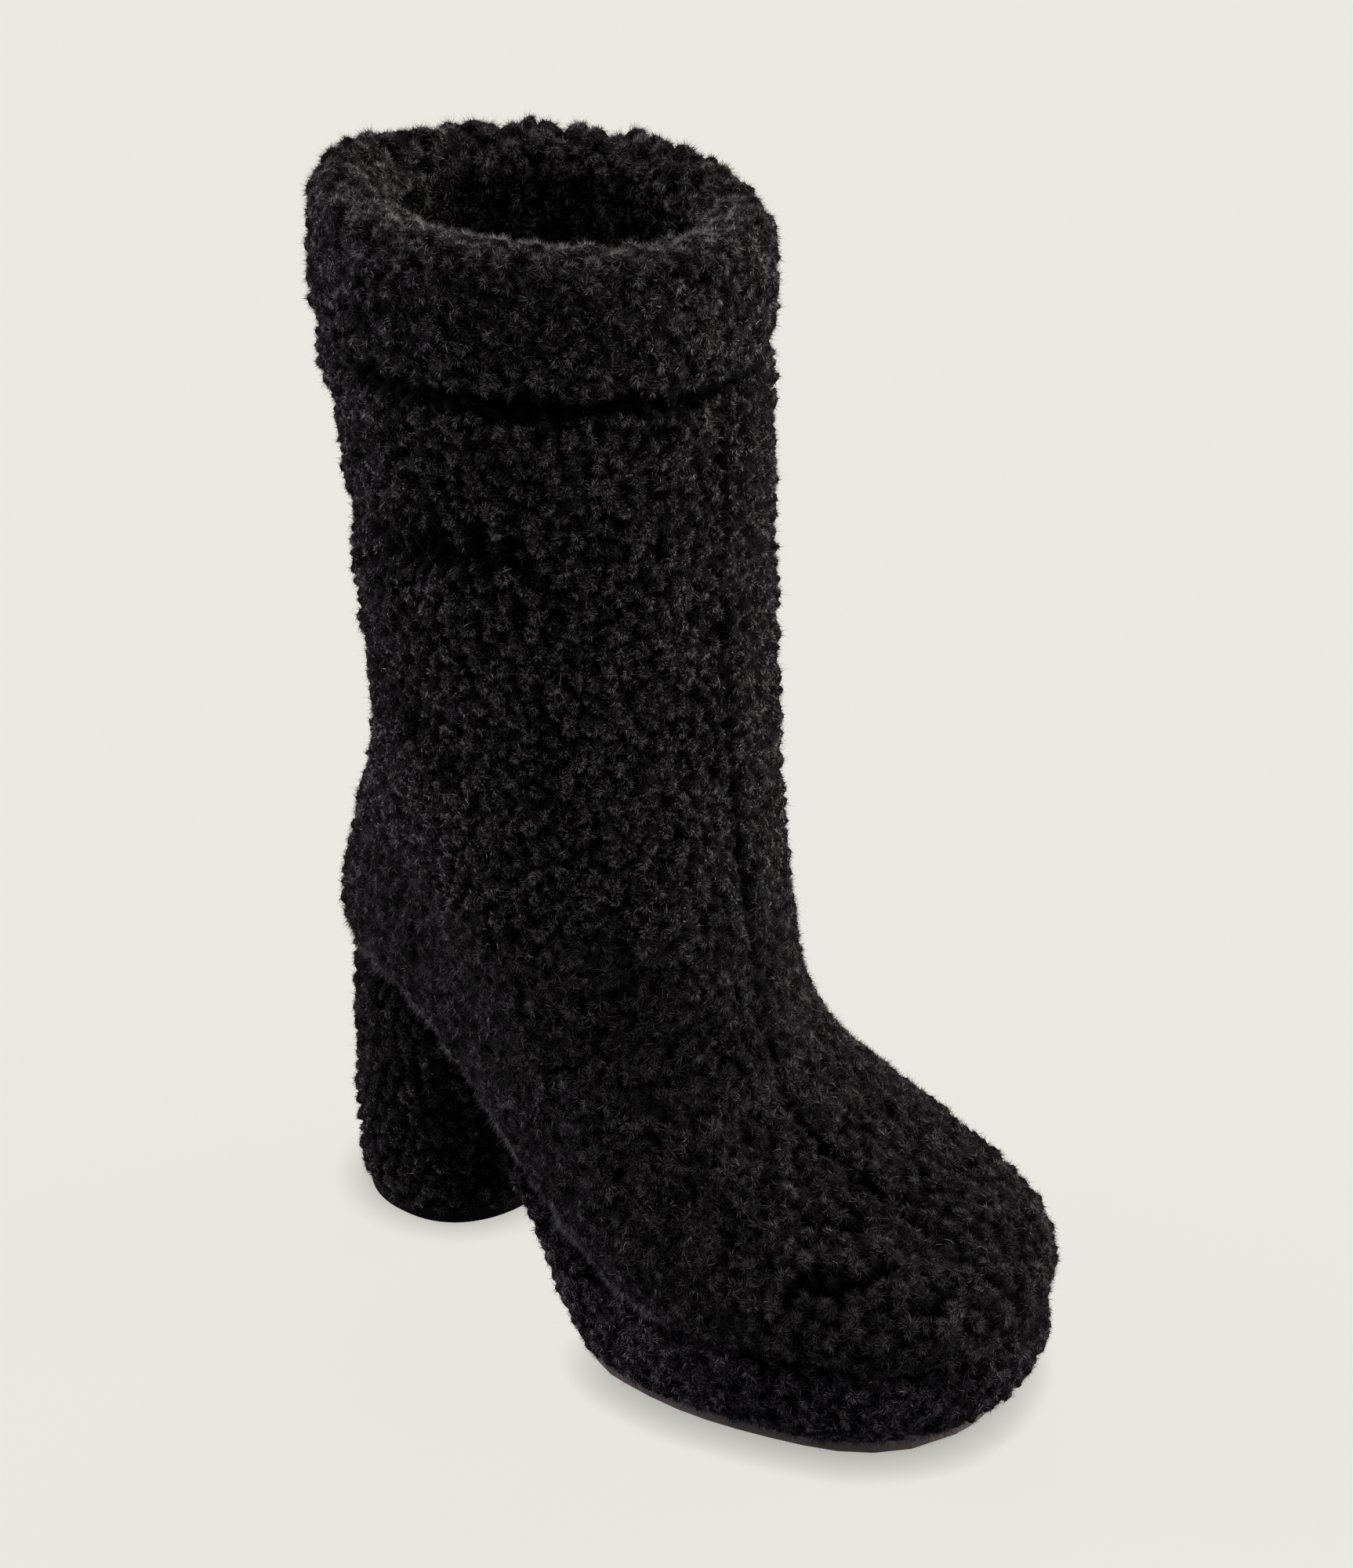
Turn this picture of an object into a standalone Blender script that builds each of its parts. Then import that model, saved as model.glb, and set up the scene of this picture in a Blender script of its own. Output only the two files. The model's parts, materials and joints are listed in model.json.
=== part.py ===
"""A heeled platform boot in curly sheepskin, for the right foot.

+Z is up, the toe points to -Y and the little-toe side faces -X. The origin is on the floor,
in the middle of the boot's box. Tables and sizes are in millimetres, and MM scales them.
"""

import collections
import math

import bpy
import numpy as np

MM = 0.001

# Driving dimensions
GAP = 0.3  # between pieces that touch
WALL_FOOT = 8.5  # hide with its fleece on both faces, round the foot
WALL_COLLAR = 14.0  # the same at the collar, where the lining's fleece stands fuller
WALL_GROWS_FROM = 0.45  # share of the way up where the wall starts to thicken
WALL_GROWS_OVER = 0.50
WALL_FOOTING = 0.3  # rings up to here step straight in, so the lower edge sits flat
CUFF_DEPTH = 44.0  # from the crest of the fold to the cuff's lower edge
CUFF_CREST = 12.0  # how far the fold stands over the upper's collar
CUFF_THICK = 8.0
CUFF_HEM = 0.65  # the cuff's thickness at its lower edge, against CUFF_THICK
CUFF_LEVELS = 3  # levels of the upper that the cuff can reach over
PLATFORM_BULGE = 6.5  # fleece standing out past the upper's lower edge
OUTSOLE_THICK = 3.5
OUTSOLE_INSET = 7.0
OUTSOLE_END = 3.0  # half-width of the outsole's blunt ends
END_STEP = 1.0  # least distance from either end of the outsole to its next section
TOE_LIFT = 3.0
TOE_LIFT_FROM = -95.0
PLATFORM_EDGE = 1.5  # the platform's thickness where it runs out at the waist
PLATFORM_TAIL = 10.0
PLATFORM_TOE = 40.0  # length over which the toe's sections spread with the bulge
TREAD_BACK = -28.0  # where the flat tread ends and the platform's back starts to rise
WAIST_START = 10.0  # where the rising back reaches the waist
BREAST_FLATNESS = 0.8
TOPLIFT_THICK = 5.0
INSOLE_THICK = 4.0
ORIGIN_Y = -11.35  # middle of the boot's box in the tables' own y

# Mesh density
AROUND = 60
OUTER_RINGS = 44
INNER_RINGS = 15
CUFF_ALONG = 5
RISE_STEPS = 8
FINE_STEPS = 720  # for measuring along a curve
SHARP_DEGREES = 40

# The last: half-widths along the foot against a plain ellipse of the same length and width
Station = collections.namedtuple("Station", "along lateral medial")
LAST = [
    Station(0.00, 1.22, 1.42),
    Station(0.15, 1.07, 1.18),
    Station(0.32, 1.03, 1.04),
    Station(0.55, 0.90, 0.84),
    Station(0.75, 0.87, 0.84),
    Station(0.90, 1.00, 1.00),
    Station(1.00, 1.15, 1.15),
]
ARCH_START = 0.30  # share of the length where the sole's line leaves the ball
ARCH_LENGTH = 0.58
ARCH_SHARE = 0.93  # of the heel's height, the rest is the seat's own slope

# The upper's outside, a row for each ring from the feather line up to the collar. lateral and
# medial are half-widths, and foot is how much of the last's outline a ring keeps: below zero it
# makes the vamp narrower at the front. dip is how much a ring follows the arch of the sole
# instead of running straight from front to back, and lean is its drop to the medial side.
Level = collections.namedtuple(
    "Level", "front_y front_z back_y back_z lateral medial foot dip lean"
)
FEATHER = Level(-137, 34, 121, 105, 63, 63, 1.00, 1.00, 0)
UPPER_LEVELS = [
    FEATHER,
    Level(-145, 43, 122, 118, 66, 66, 1.00, 1.00, 0),
    Level(-144, 54, 119, 133, 65, 66, 0.95, 0.95, 0),
    Level(-127, 61, 115, 150, 61, 63, 0.70, 0.85, 0),
    Level(-90, 70, 110, 168, 57, 51, 0.20, 0.35, 0),
    Level(-57, 87, 105, 187, 57, 56, -0.10, 0.10, 0),
    Level(-44, 124, 101, 207, 58, 58, -0.15, 0.10, 0),
    Level(-36, 165, 99, 228, 60, 61, -0.10, 0.05, 0),
    Level(-31, 205, 100, 250, 62, 64, 0.00, 0.00, 0),
    Level(-28, 250, 104, 275, 64, 66, 0.00, 0.00, 2),
    Level(-28, 292, 111, 302, 64, 65, 0.00, 0.00, 5),
    Level(-25, 312, 111, 315, 61, 63, 0.00, 0.00, 7),
    Level(-21, 322, 108, 325, 57, 59, 0.00, 0.00, 7),
    Level(-20, 348, 108, 351, 57, 59, 0.00, 0.00, 7),
]

# Broad folds of the slack shaft. They run round from one turn to another, in degrees from the
# toe over the medial side, and depth is into the shaft, so a ridge has a depth below zero.
Fold = collections.namedtuple("Fold", "turn_from turn_to z_from z_to depth width")
FOLDS = [
    Fold(198, 322, 261, 267, 5.0, 5.5),
    Fold(195, 315, 275, 280, -2.5, 7.0),
    Fold(205, 300, 247, 250, -1.5, 8.0),
    Fold(195, 290, 217, 190, -2.0, 9.0),
    Fold(285, 375, 172, 173, 2.0, 6.0),
    Fold(150, 215, 232, 238, 2.5, 9.0),
    Fold(60, 150, 205, 215, 1.5, 8.0),
]

# The cuff's outer face, down from the fold: out from the shaft's face and up from the collar
CuffPoint = collections.namedtuple("CuffPoint", "out up")
CUFF_FOLD = [
    CuffPoint(CUFF_THICK * 0.98, 3.0),
    CuffPoint(CUFF_THICK * 0.70, 9.0),
    CuffPoint(0.0, CUFF_CREST),
    CuffPoint(-WALL_COLLAR * 0.55, CUFF_CREST - 0.5),
    CuffPoint(-WALL_COLLAR * 0.95, 8.5),
    CuffPoint(-WALL_COLLAR - 3.0, 3.5),
    CuffPoint(-WALL_COLLAR - 1.5, GAP),
]

# The platform's side and the heel's, from the bottom up
SideRow = collections.namedtuple("SideRow", "up out")
PLATFORM_SIDE = [
    SideRow(0.00, -OUTSOLE_INSET),
    SideRow(0.08, -0.5 * PLATFORM_BULGE),
    SideRow(0.30, 0.7 * PLATFORM_BULGE),
    SideRow(0.65, PLATFORM_BULGE),
    SideRow(0.92, 0.6 * PLATFORM_BULGE),
    SideRow(1.00, -1.0),
]
HeelRow = collections.namedtuple("HeelRow", "up centre_y half_length half_width")
HEEL_SIDE = [
    HeelRow(0.00, 88, 31, 32),
    HeelRow(0.05, 88, 34, 35),
    HeelRow(0.30, 88, 35, 36),
    HeelRow(0.70, 87, 35, 36),
    HeelRow(1.00, 87, 33, 35),
]


def through(values, places):
    """A smooth curve (Catmull-Rom) through rows of values, read at places from 0 to len - 1."""
    values = np.asarray(values, float)
    places = np.clip(np.asarray(places, float), 0, len(values) - 1)
    start = np.minimum(places.astype(int), len(values) - 2)
    part = (places - start)[:, None]
    padded = np.vstack([2 * values[0] - values[1], values, 2 * values[-1] - values[-2]])
    before, here, after, beyond = (padded[start + k] for k in range(4))
    linear = after - before
    square = 2 * before - 5 * here + 4 * after - beyond
    cube = 3 * here - before - 3 * after + beyond
    return here + 0.5 * (linear * part + square * part**2 + cube * part**3)


def last_width(along, medial):
    """The last's half-width against the plain ellipse, at a share of the length from the toe."""
    stations = [row.along for row in LAST]
    widths = [[row.medial if medial else row.lateral] for row in LAST]
    places = np.interp(along, stations, range(len(LAST)))
    return through(widths, places)[:, 0]


def arch_rise(along):
    """The sole's line from toe to heel: 0 up to the ball, 1 at the back of the heel seat."""
    climb = np.clip((along - ARCH_START) / ARCH_LENGTH, 0, 1)
    return ARCH_SHARE * climb * climb * (3 - 2 * climb) + (1 - ARCH_SHARE) * along


def sole_z(y):
    """Height of the upper's lower edge, which is the same right across the foot."""
    along = np.clip((y - FEATHER.front_y) / (FEATHER.back_y - FEATHER.front_y), 0, 1)
    return FEATHER.front_z + (FEATHER.back_z - FEATHER.front_z) * arch_rise(along)


def even_angles():
    """Angles round a ring, spaced evenly along the feather line. The toe is 0, the medial side
    a quarter turn and the back of the heel a half."""
    fine = np.linspace(0, math.pi, FINE_STEPS + 1)
    line = ring(FEATHER, fine)[:, :2]
    length = np.append(0, np.cumsum(np.linalg.norm(np.diff(line, axis=0), axis=1)))
    half = np.interp(np.linspace(0, length[-1], AROUND // 2 + 1), length, fine)
    return np.append(half, 2 * math.pi - half[-2:0:-1])


def ring(level, angles):
    """Points round one level of the upper."""
    along = (1 - np.cos(angles)) / 2
    across = np.sin(angles)
    half = np.where(across > 0, level.medial, level.lateral)
    last = np.where(across > 0, last_width(along, True), last_width(along, False))
    x = half * across * (1 + level.foot * (last - 1))
    y = level.front_y + (level.back_y - level.front_y) * along
    rise = (1 - level.dip) * along + level.dip * arch_rise(along)
    z = level.front_z + (level.back_z - level.front_z) * rise - level.lean * across / 2
    return np.column_stack([x, y, z])


def folded(grid, normal, angles):
    """The surface with the folds pressed into it."""
    turn = np.degrees(angles)
    shift = np.zeros(grid.shape[:2])
    for fold in FOLDS:
        span = fold.turn_to - fold.turn_from
        share = ((turn - fold.turn_from) % 360) / span
        window = np.where(share < 1, np.sin(math.pi * np.clip(share, 0, 1)) ** 2, 0)
        height = fold.z_from + (fold.z_to - fold.z_from) * share
        shift += fold.depth * window * np.exp(-(((grid[:, :, 2] - height) / fold.width) ** 2))
    return grid - normal * shift[:, :, None]


def even_places(count):
    """Places of rings that lie evenly up the boot, along the mean of its front and back."""
    fine = np.linspace(0, len(UPPER_LEVELS) - 1, FINE_STEPS + 1)
    rows = through(UPPER_LEVELS, fine)
    steps = np.diff(rows[:, :4], axis=0)
    length = (np.hypot(steps[:, 0], steps[:, 1]) + np.hypot(steps[:, 2], steps[:, 3])) / 2
    length = np.append(0, np.cumsum(length))
    return np.interp(np.linspace(0, length[-1], count), length, fine)


def upper_surface(places):
    """The upper's outside and its normals, each as rings x around x 3."""
    angles = even_angles()
    rows = through(UPPER_LEVELS, places)
    smooth = np.array([ring(Level(*row), angles) for row in rows])
    grid = folded(smooth, outward(smooth), angles)
    return grid, outward(grid)


def outward(grid):
    """Unit normals of a stack of rings, pointing out."""
    around = np.roll(grid, -1, axis=1) - np.roll(grid, 1, axis=1)
    normal = np.cross(around, np.gradient(grid, axis=0))
    return normal / np.linalg.norm(normal, axis=2, keepdims=True)


def upper_rings():
    """The upper's outer and inner rings, with a wall that thickens towards the collar."""
    count = len(UPPER_LEVELS) - 1
    outer, _ = upper_surface(even_places(OUTER_RINGS))
    places = even_places(INNER_RINGS)
    inner, normal = upper_surface(places)
    normal[:, :, 2] *= np.clip(places - WALL_FOOTING, 0, 1)[:, None]
    normal /= np.linalg.norm(normal, axis=2, keepdims=True)
    share = np.clip((places / count - WALL_GROWS_FROM) / WALL_GROWS_OVER, 0, 1)
    wall = WALL_FOOT + (WALL_COLLAR - WALL_FOOT) * share
    inner = inner - normal * wall[:, None, None]
    inner[0, :, 2] = sole_z(inner[0, :, 1])
    inner[-1, :, 2] = outer[-1, :, 2]
    return outer, inner


def cuff_sections():
    """Closed sections of the cuff round the collar, a hook over the upper's top edge."""
    count = len(UPPER_LEVELS) - 1
    places = np.linspace(count - CUFF_LEVELS, count, FINE_STEPS + 1)
    band, normal = upper_surface(places)
    depth = (band[-1] - band)[:, :, 2].mean(axis=1)
    reach = CUFF_DEPTH - CUFF_CREST
    wanted = np.linspace(reach, 0, CUFF_ALONG)
    lower, _ = upper_surface(np.interp(-wanted, -depth, places))
    side = normal[-1] * [1, 1, 0]
    side /= np.linalg.norm(side, axis=1, keepdims=True)
    collar = lower[-1]

    def at(out, up):
        return collar + side * out + [0, 0, up]

    inside = [row + side * GAP for row in lower[:-1]]
    top = [at(GAP, GAP)]
    over = [at(point.out, point.up) for point in reversed(CUFF_FOLD)]
    outside = [row + side * CUFF_THICK for row in lower[1:-1][::-1]]
    hem = [lower[0] + side * CUFF_HEM * CUFF_THICK]
    return np.array(inside + top + over + outside + hem)[::-1]


def sole_half_width(y, out, medial):
    """Half-width of the feather line grown by out, at a place along the foot."""
    front = FEATHER.front_y - out
    length = FEATHER.back_y + out - front
    along = np.clip((y - front) / length, 0, 1)
    half = (FEATHER.medial if medial else FEATHER.lateral) + out
    return half * 2 * np.sqrt(along * (1 - along)) * last_width(along, medial)


def tread_z(y):
    """Top of the outsole: flat under the ball, lifted at the toe, then up the platform's back."""
    lift = TOE_LIFT * np.clip((TOE_LIFT_FROM - y) / (TOE_LIFT_FROM - FEATHER.front_y), 0, 1) ** 2
    rise = np.clip((y - TREAD_BACK) / (WAIST_START - TREAD_BACK), 0, 1)
    share = rise * rise * (3 - 2 * rise)
    flat = OUTSOLE_THICK + lift
    return flat + share * (sole_z(y) - PLATFORM_EDGE - 2 * GAP - flat)


def sole_stations():
    """Places along the foot where the sole's pieces have a section, closest where they bend."""
    feather = ring(FEATHER, even_angles())[: AROUND // 2 + 1, 1]
    rise = np.linspace(TREAD_BACK, WAIST_START, RISE_STEPS + 1)
    step = rise[1] - rise[0]
    outside = (feather < TREAD_BACK - step / 2) | (feather > WAIST_START + step / 2)
    return np.sort(np.append(feather[outside], rise))


def platform_rings():
    """The platform's side from its lower edge up, each ring closed behind the ball."""
    rings = []
    stations = sole_stations()
    stations = stations[stations <= WAIST_START]
    for row in PLATFORM_SIDE:
        toe_share = np.clip(1 - (stations - FEATHER.front_y) / PLATFORM_TOE, 0, 1)
        y = stations - row.out * toe_share
        medial = sole_half_width(y, row.out, True)
        lateral = -sole_half_width(y, row.out, False)
        end = WAIST_START + GAP
        y = np.concatenate([y, [end], y[:0:-1]])
        x = np.concatenate([medial, [0], lateral[:0:-1]])
        under = tread_z(y) + GAP
        z = under + row.up * (sole_z(y) - GAP - under)
        rings.append(np.column_stack([x, y, z]))
    return np.array(rings)


def seat_z(y):
    """Underside of the outsole where the heel carries it, less the gap."""
    slope = (sole_z(y + 1) - sole_z(y - 1)) / 2
    return sole_z(y) - 2 * GAP - OUTSOLE_THICK * np.hypot(1, slope)


def heel_rings():
    """The heel's column from its lower edge up to the slanting seat."""
    rings = []
    angles = even_angles()
    low = TOPLIFT_THICK + GAP
    for row in HEEL_SIDE:
        oval = heel_outline(row.centre_y, row.half_length, row.half_width, angles)
        z = low + row.up * (seat_z(oval[:, 1]) - low)
        rings.append(np.column_stack([oval, z]))
    return np.array(rings)


def heel_outline(centre_y, half_length, half_width, angles):
    """An oval that is a little flattened at the breast."""
    towards_toe = np.cos(angles)
    flat = np.sign(towards_toe) * np.abs(towards_toe) ** BREAST_FLATNESS
    y = centre_y - half_length * np.where(towards_toe > 0, flat, towards_toe)
    return np.column_stack([half_width * np.sin(angles), y])


def toplift_rings():
    low = HEEL_SIDE[0]
    outline = heel_outline(low.centre_y, low.half_length, low.half_width, even_angles())
    return np.array([np.column_stack([outline, np.full(AROUND, z)]) for z in (0, TOPLIFT_THICK)])


def insole_rings(inner):
    """The board and sock inside the upper, a little inside the wall's lower edge."""
    line = inner[0]
    around = np.roll(line, -1, axis=0) - np.roll(line, 1, axis=0)
    inward = np.column_stack([-around[:, 1], around[:, 0]])
    inward /= np.linalg.norm(inward, axis=1, keepdims=True)
    outline = line[:, :2] + inward * 2 * GAP
    base = sole_z(outline[:, 1]) + GAP
    return np.array([np.column_stack([outline, base + up]) for up in (0, INSOLE_THICK)])


def outsole_rows():
    """Cross-sections of the outsole from the toe to the back of the seat, four corners each."""
    front = FEATHER.front_y + OUTSOLE_INSET
    back = FEATHER.back_y - OUTSOLE_INSET
    y = sole_stations()
    between = (y > front + END_STEP) & (y < back - END_STEP)
    y = np.concatenate([[front], y[between], [back]])
    tail = np.clip((y - WAIST_START) / PLATFORM_TAIL, 0, 1)
    step = (PLATFORM_EDGE + GAP) * (1 - tail * tail * (3 - 2 * tail))
    z = np.where(y <= WAIST_START, tread_z(y), sole_z(y) - GAP - step)
    direction = np.gradient(np.column_stack([y, z]), axis=0)
    direction /= np.linalg.norm(direction, axis=1, keepdims=True)
    under_y = y + OUTSOLE_THICK * direction[:, 1]
    under_z = z - OUTSOLE_THICK * direction[:, 0]
    lateral = -np.maximum(sole_half_width(y, -OUTSOLE_INSET, False), OUTSOLE_END)
    medial = np.maximum(sole_half_width(y, -OUTSOLE_INSET, True), OUTSOLE_END)
    corners = [(lateral, y, z), (medial, y, z), (medial, under_y, under_z)]
    corners.append((lateral, under_y, under_z))
    return np.array([np.column_stack(corner) for corner in corners]).transpose(1, 0, 2)


def stitch(rows, offset=0, closed_rows=False):
    """Faces between neighbouring rings, each ring closed on itself."""
    count, around = rows.shape[:2]
    faces = []
    for k in range(count if closed_rows else count - 1):
        low = offset + k * around
        high = offset + (k + 1) % count * around
        for j in range(around):
            after = (j + 1) % around
            faces.append((low + j, low + after, high + after, high + j))
    return faces


def lid(start, around, upwards):
    """Faces across a ring, joining each point to its mirror on the other side of the foot."""
    faces = []
    for j in range(around // 2):
        near, far = (-j) % around, (-j - 1) % around
        face = [start + j, start + j + 1, start + far, start + near]
        face = list(dict.fromkeys(face))
        faces.append(tuple(face if upwards else face[::-1]))
    return faces


def solid(name, points, faces, material):
    """A closed mesh object from points in the tables' frame."""
    points = (np.asarray(points).reshape(-1, 3) - [0, ORIGIN_Y, 0]) * MM
    mesh = bpy.data.meshes.new(name)
    mesh.from_pydata([tuple(point) for point in points], [], faces)
    mesh.shade_smooth()
    mesh.set_sharp_from_angle(angle=math.radians(SHARP_DEGREES))
    mesh.materials.append(material)
    piece = bpy.data.objects.new(name, mesh)
    bpy.context.scene.collection.objects.link(piece)
    return piece


def stack(name, rings, material):
    """A solid from rings that run from the bottom up, closed by a lid at each end."""
    count, around = rings.shape[:2]
    faces = stitch(rings) + lid(0, around, False) + lid((count - 1) * around, around, True)
    return solid(name, rings, faces, material)


def material(name, colour, roughness):
    """A plain Principled material."""
    made = bpy.data.materials.new(name)
    made.use_nodes = True
    made.diffuse_color = (*colour, 1)
    shader = made.node_tree.nodes["Principled BSDF"]
    shader.inputs["Base Color"].default_value = (*colour, 1)
    shader.inputs["Roughness"].default_value = roughness
    shader.inputs["Metallic"].default_value = 0
    return made


def build():
    for leftover in list(bpy.data.objects):
        bpy.data.objects.remove(leftover)
    fleece = material("black_fleece", (0.016, 0.014, 0.015), 0.95)
    leather = material("tan_leather", (0.30, 0.16, 0.08), 0.55)
    rubber = material("black_rubber", (0.012, 0.012, 0.012), 0.6)
    lining = material("black_sock", (0.02, 0.018, 0.018), 0.95)

    outer, inner = upper_rings()
    wall = np.concatenate([outer, inner[::-1]])
    solid("upper", wall, stitch(wall, closed_rows=True), fleece)
    sections = cuff_sections()
    solid("cuff", sections, stitch(sections, closed_rows=True), fleece)
    stack("platform", platform_rings(), fleece)
    stack("heel", heel_rings(), fleece)
    stack("toplift", toplift_rings(), rubber)
    stack("insole", insole_rings(inner), lining)

    rows = outsole_rows()
    corners = rows.shape[1]
    last = (len(rows) - 1) * corners
    ends = [tuple(range(corners))[::-1], tuple(range(last, last + corners))]
    solid("outsole", rows, stitch(rows) + ends, leather)


build()
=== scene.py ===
import json
import math

import bpy
import numpy as np
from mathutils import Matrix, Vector, kdtree, noise
from mathutils.bvhtree import BVHTree

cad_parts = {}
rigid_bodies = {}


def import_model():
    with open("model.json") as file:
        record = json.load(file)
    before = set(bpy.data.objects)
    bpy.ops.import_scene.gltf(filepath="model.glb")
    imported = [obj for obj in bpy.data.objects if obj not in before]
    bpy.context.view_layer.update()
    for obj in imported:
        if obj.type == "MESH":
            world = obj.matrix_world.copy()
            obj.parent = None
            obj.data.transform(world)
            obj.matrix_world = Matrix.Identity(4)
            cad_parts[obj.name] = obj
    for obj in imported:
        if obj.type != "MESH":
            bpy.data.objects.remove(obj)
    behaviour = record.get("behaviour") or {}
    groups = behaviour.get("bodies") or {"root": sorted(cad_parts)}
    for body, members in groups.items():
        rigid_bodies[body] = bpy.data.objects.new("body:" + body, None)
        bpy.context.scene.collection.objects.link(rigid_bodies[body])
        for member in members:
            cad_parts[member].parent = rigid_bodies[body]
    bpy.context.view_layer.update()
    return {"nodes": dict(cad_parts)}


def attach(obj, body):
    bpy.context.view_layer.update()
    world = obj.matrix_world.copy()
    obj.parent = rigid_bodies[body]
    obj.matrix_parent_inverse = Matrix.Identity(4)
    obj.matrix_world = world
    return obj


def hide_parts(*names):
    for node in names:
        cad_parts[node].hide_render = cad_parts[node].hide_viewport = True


mm = 0.001
legMiddle = 54.6 * mm  # how far behind the box's middle the leg stands
nearSide = np.array((-0.70, -0.71, 0))  # the side of the leg that faces the camera
noise.seed_set(5)  # noise_vector takes its offsets from this, and from the clock without it
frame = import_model()
nodes = frame["nodes"]
solidNames = [name for name in nodes if nodes[name].type == "MESH"]
print("frame loaded")


# Selecting and mesh arrays
def pick(piece):
    if bpy.context.mode != "OBJECT":
        bpy.ops.object.mode_set(mode="OBJECT")
    bpy.ops.object.select_all(action="DESELECT")
    piece.select_set(True)
    bpy.context.view_layer.objects.active = piece


def editFaces(piece, chosen=None):
    # chosen holds a flag for each face, and with none given every face is selected
    pick(piece)
    mesh = piece.data
    bpy.context.tool_settings.mesh_select_mode = (False, False, True)
    flags = np.ones(len(mesh.polygons), bool) if chosen is None else np.asarray(chosen, bool)
    mesh.vertices.foreach_set("select", np.zeros(len(mesh.vertices), bool))
    mesh.edges.foreach_set("select", np.zeros(len(mesh.edges), bool))
    mesh.polygons.foreach_set("select", flags)
    bpy.ops.object.mode_set(mode="EDIT")


def rowsOf(items, what, width=3):
    found = np.empty(len(items) * width)
    items.foreach_get(what, found)
    return found.reshape(-1, width)


def unit(rows):
    return rows / np.maximum(np.linalg.norm(rows, axis=-1, keepdims=True), 1e-12)


def smoothStep(low, high, value):
    share = np.clip((value - low) / (high - low), 0, 1)
    return share * share * (3 - 2 * share)


def drift(points, size, seed):
    # three soft random values for each point, each about -1 to 1, with features of that size
    shift = Vector((seed * 7.3, seed * 3.1, seed * 5.7))
    found = np.empty((len(points), 3))
    for k, point in enumerate(points / size):
        found[k] = noise.noise_vector(Vector(point) + shift)
    return found


def legRing(points):
    # the level direction from the middle of the leg to each point
    return unit((points - (0, legMiddle, 0)) * (1, 1, 0))


# Nodes for the materials and the sky, each given its source and giving back its result
def addNoise(tree, where, scale, detail, distortion=0.0):
    made = tree.nodes.new("ShaderNodeTexNoise")
    made.inputs["Scale"].default_value = scale
    made.inputs["Detail"].default_value = detail
    made.inputs["Distortion"].default_value = distortion
    tree.links.new(where, made.inputs["Vector"])
    return made.outputs["Fac"]


def addRange(tree, source, low, high, start=0.0, end=1.0):
    made = tree.nodes.new("ShaderNodeMapRange")
    made.inputs["From Min"].default_value = low
    made.inputs["From Max"].default_value = high
    made.inputs["To Min"].default_value = start
    made.inputs["To Max"].default_value = end
    tree.links.new(source, made.inputs["Value"])
    return made.outputs["Result"]


def addMaths(tree, kind, first, second, third=None):
    made = tree.nodes.new("ShaderNodeMath")
    made.operation = kind
    for k, value in enumerate((first, second, third)):
        if isinstance(value, float):
            made.inputs[k].default_value = value
        elif value is not None:
            tree.links.new(value, made.inputs[k])
    return made.outputs[0]


def tintAndBump(tree, look, share, grain, strength, distance):
    # blends dark to light by the share, and lets the grain stand up
    shader = tree.nodes["Principled BSDF"]
    tint = tree.nodes.new("ShaderNodeMix")
    tint.data_type = "RGBA"
    tint.inputs["A"].default_value = (*look["dark"], 1)
    tint.inputs["B"].default_value = (*look["light"], 1)
    tree.links.new(share, tint.inputs["Factor"])
    tree.links.new(tint.outputs["Result"], shader.inputs["Base Color"])
    bump = tree.nodes.new("ShaderNodeBump")
    bump.inputs["Strength"].default_value = strength
    bump.inputs["Distance"].default_value = distance
    tree.links.new(grain, bump.inputs["Height"])
    tree.links.new(bump.outputs["Normal"], shader.inputs["Normal"])


# The camera stands where it sees the toe, the outer side and the opening together
cameraLook = {
    "place": (-0.7409, -0.6307, 0.7042),
    "aim": (0.000, 0.003, 0.183),
    "lens": 55.5,
    "sensorHeight": 24.0,
}


def addCamera(look):
    bpy.ops.object.camera_add(location=look["place"])
    camera = bpy.context.active_object
    camera.name = "camera"
    towards = Vector(look["aim"]) - Vector(look["place"])
    camera.rotation_euler = towards.to_track_quat("-Z", "Y").to_euler()
    camera.data.sensor_fit = "VERTICAL"
    camera.data.sensor_height = look["sensorHeight"]
    camera.data.lens = look["lens"]
    camera.data.clip_end = 30
    bpy.context.scene.camera = camera


studio = {
    "floorSize": 16.0,
    "floorColour": (0.030, 0.030, 0.0277),
    "floorGlow": (0.777, 0.777, 0.718),
    "contact": 14 * mm,  # how far the soft shade under the sole reaches
    "contactShade": 0.45,
    "skyColour": (1.0, 1.0, 0.985),
    "skyLow": 0.25,
    "skyHigh": 0.41,
    "suns": [
        # name, direction it shines, strength, how wide, colour
        ("key", (-0.44, 0.86, -0.20), 1.9, 22, (1.0, 0.98, 0.97)),
        ("backTop", (-0.60, -0.47, -0.50), 1.5, 30, (1.0, 0.97, 0.97)),
        ("innerRim", (-0.90, 0.42, -0.10), 6.0, 25, (1.0, 0.97, 0.96)),
        ("outerRim", (0.36, -0.86, -0.26), 4.4, 35, (0.95, 0.92, 1.0)),
        ("lowFill", (0.75, 0.25, 0.06), 0.65, 60, (0.72, 0.78, 1.0)),
    ],
}


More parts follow.
